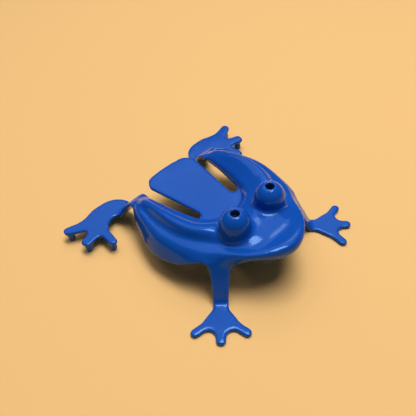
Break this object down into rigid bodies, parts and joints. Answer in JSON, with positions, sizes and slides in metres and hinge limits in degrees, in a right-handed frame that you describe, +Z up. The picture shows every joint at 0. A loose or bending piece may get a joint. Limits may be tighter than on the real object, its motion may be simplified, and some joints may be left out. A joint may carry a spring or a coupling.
{
  "type": "jumping frog toy",
  "caption": "Moulded plastic frog toy with a thin hollow body, domed eyes, flat webbed feet and a springy tail tongue that makes it jump when pressed.",
  "frame": {"origin": "on the floor, under the middle of the frog's overall box", "axes": "+X to the frog's left, +Z up, the head towards -Y"},
  "size_m": [0.0546, 0.0492, 0.0172],
  "materials": {
    "plastic": "gloss"
  },
  "bodies": {
    "root": {"jumping_frog": "plastic"}
  },
  "joints": []
}
